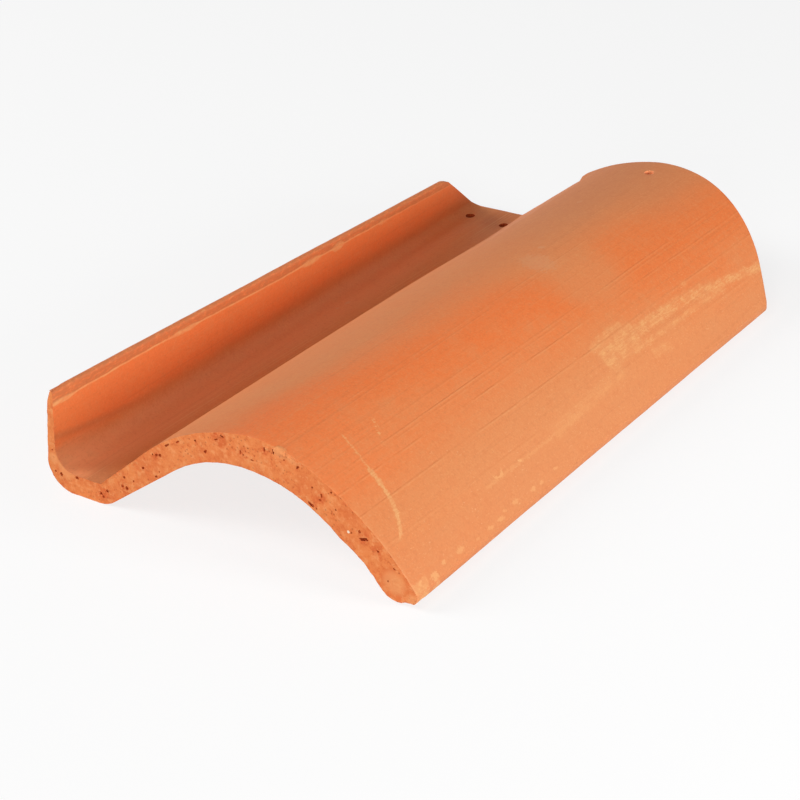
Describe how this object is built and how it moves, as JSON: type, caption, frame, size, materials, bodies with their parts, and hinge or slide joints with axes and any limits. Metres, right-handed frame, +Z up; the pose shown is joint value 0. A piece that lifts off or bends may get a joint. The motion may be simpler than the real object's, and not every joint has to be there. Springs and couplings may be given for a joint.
{
  "type": "clay roof tile",
  "caption": "One-piece fired clay roof tile with a flat pan, an upturned rim and a tall barrel, trimmed head corners and nail holes.",
  "frame": {"origin": "centre of the tile's bounding box, on the floor it rests on", "axes": "+X across the tile from the rim to the barrel's foot, +Y along the tile from the tail end to the head end with the nail holes, +Z up"},
  "size_m": [0.26, 0.415, 0.0748],
  "materials": {
    "fired_clay": "matt, unglazed"
  },
  "bodies": {
    "root": {"roof_tile": "fired_clay"}
  },
  "joints": []
}
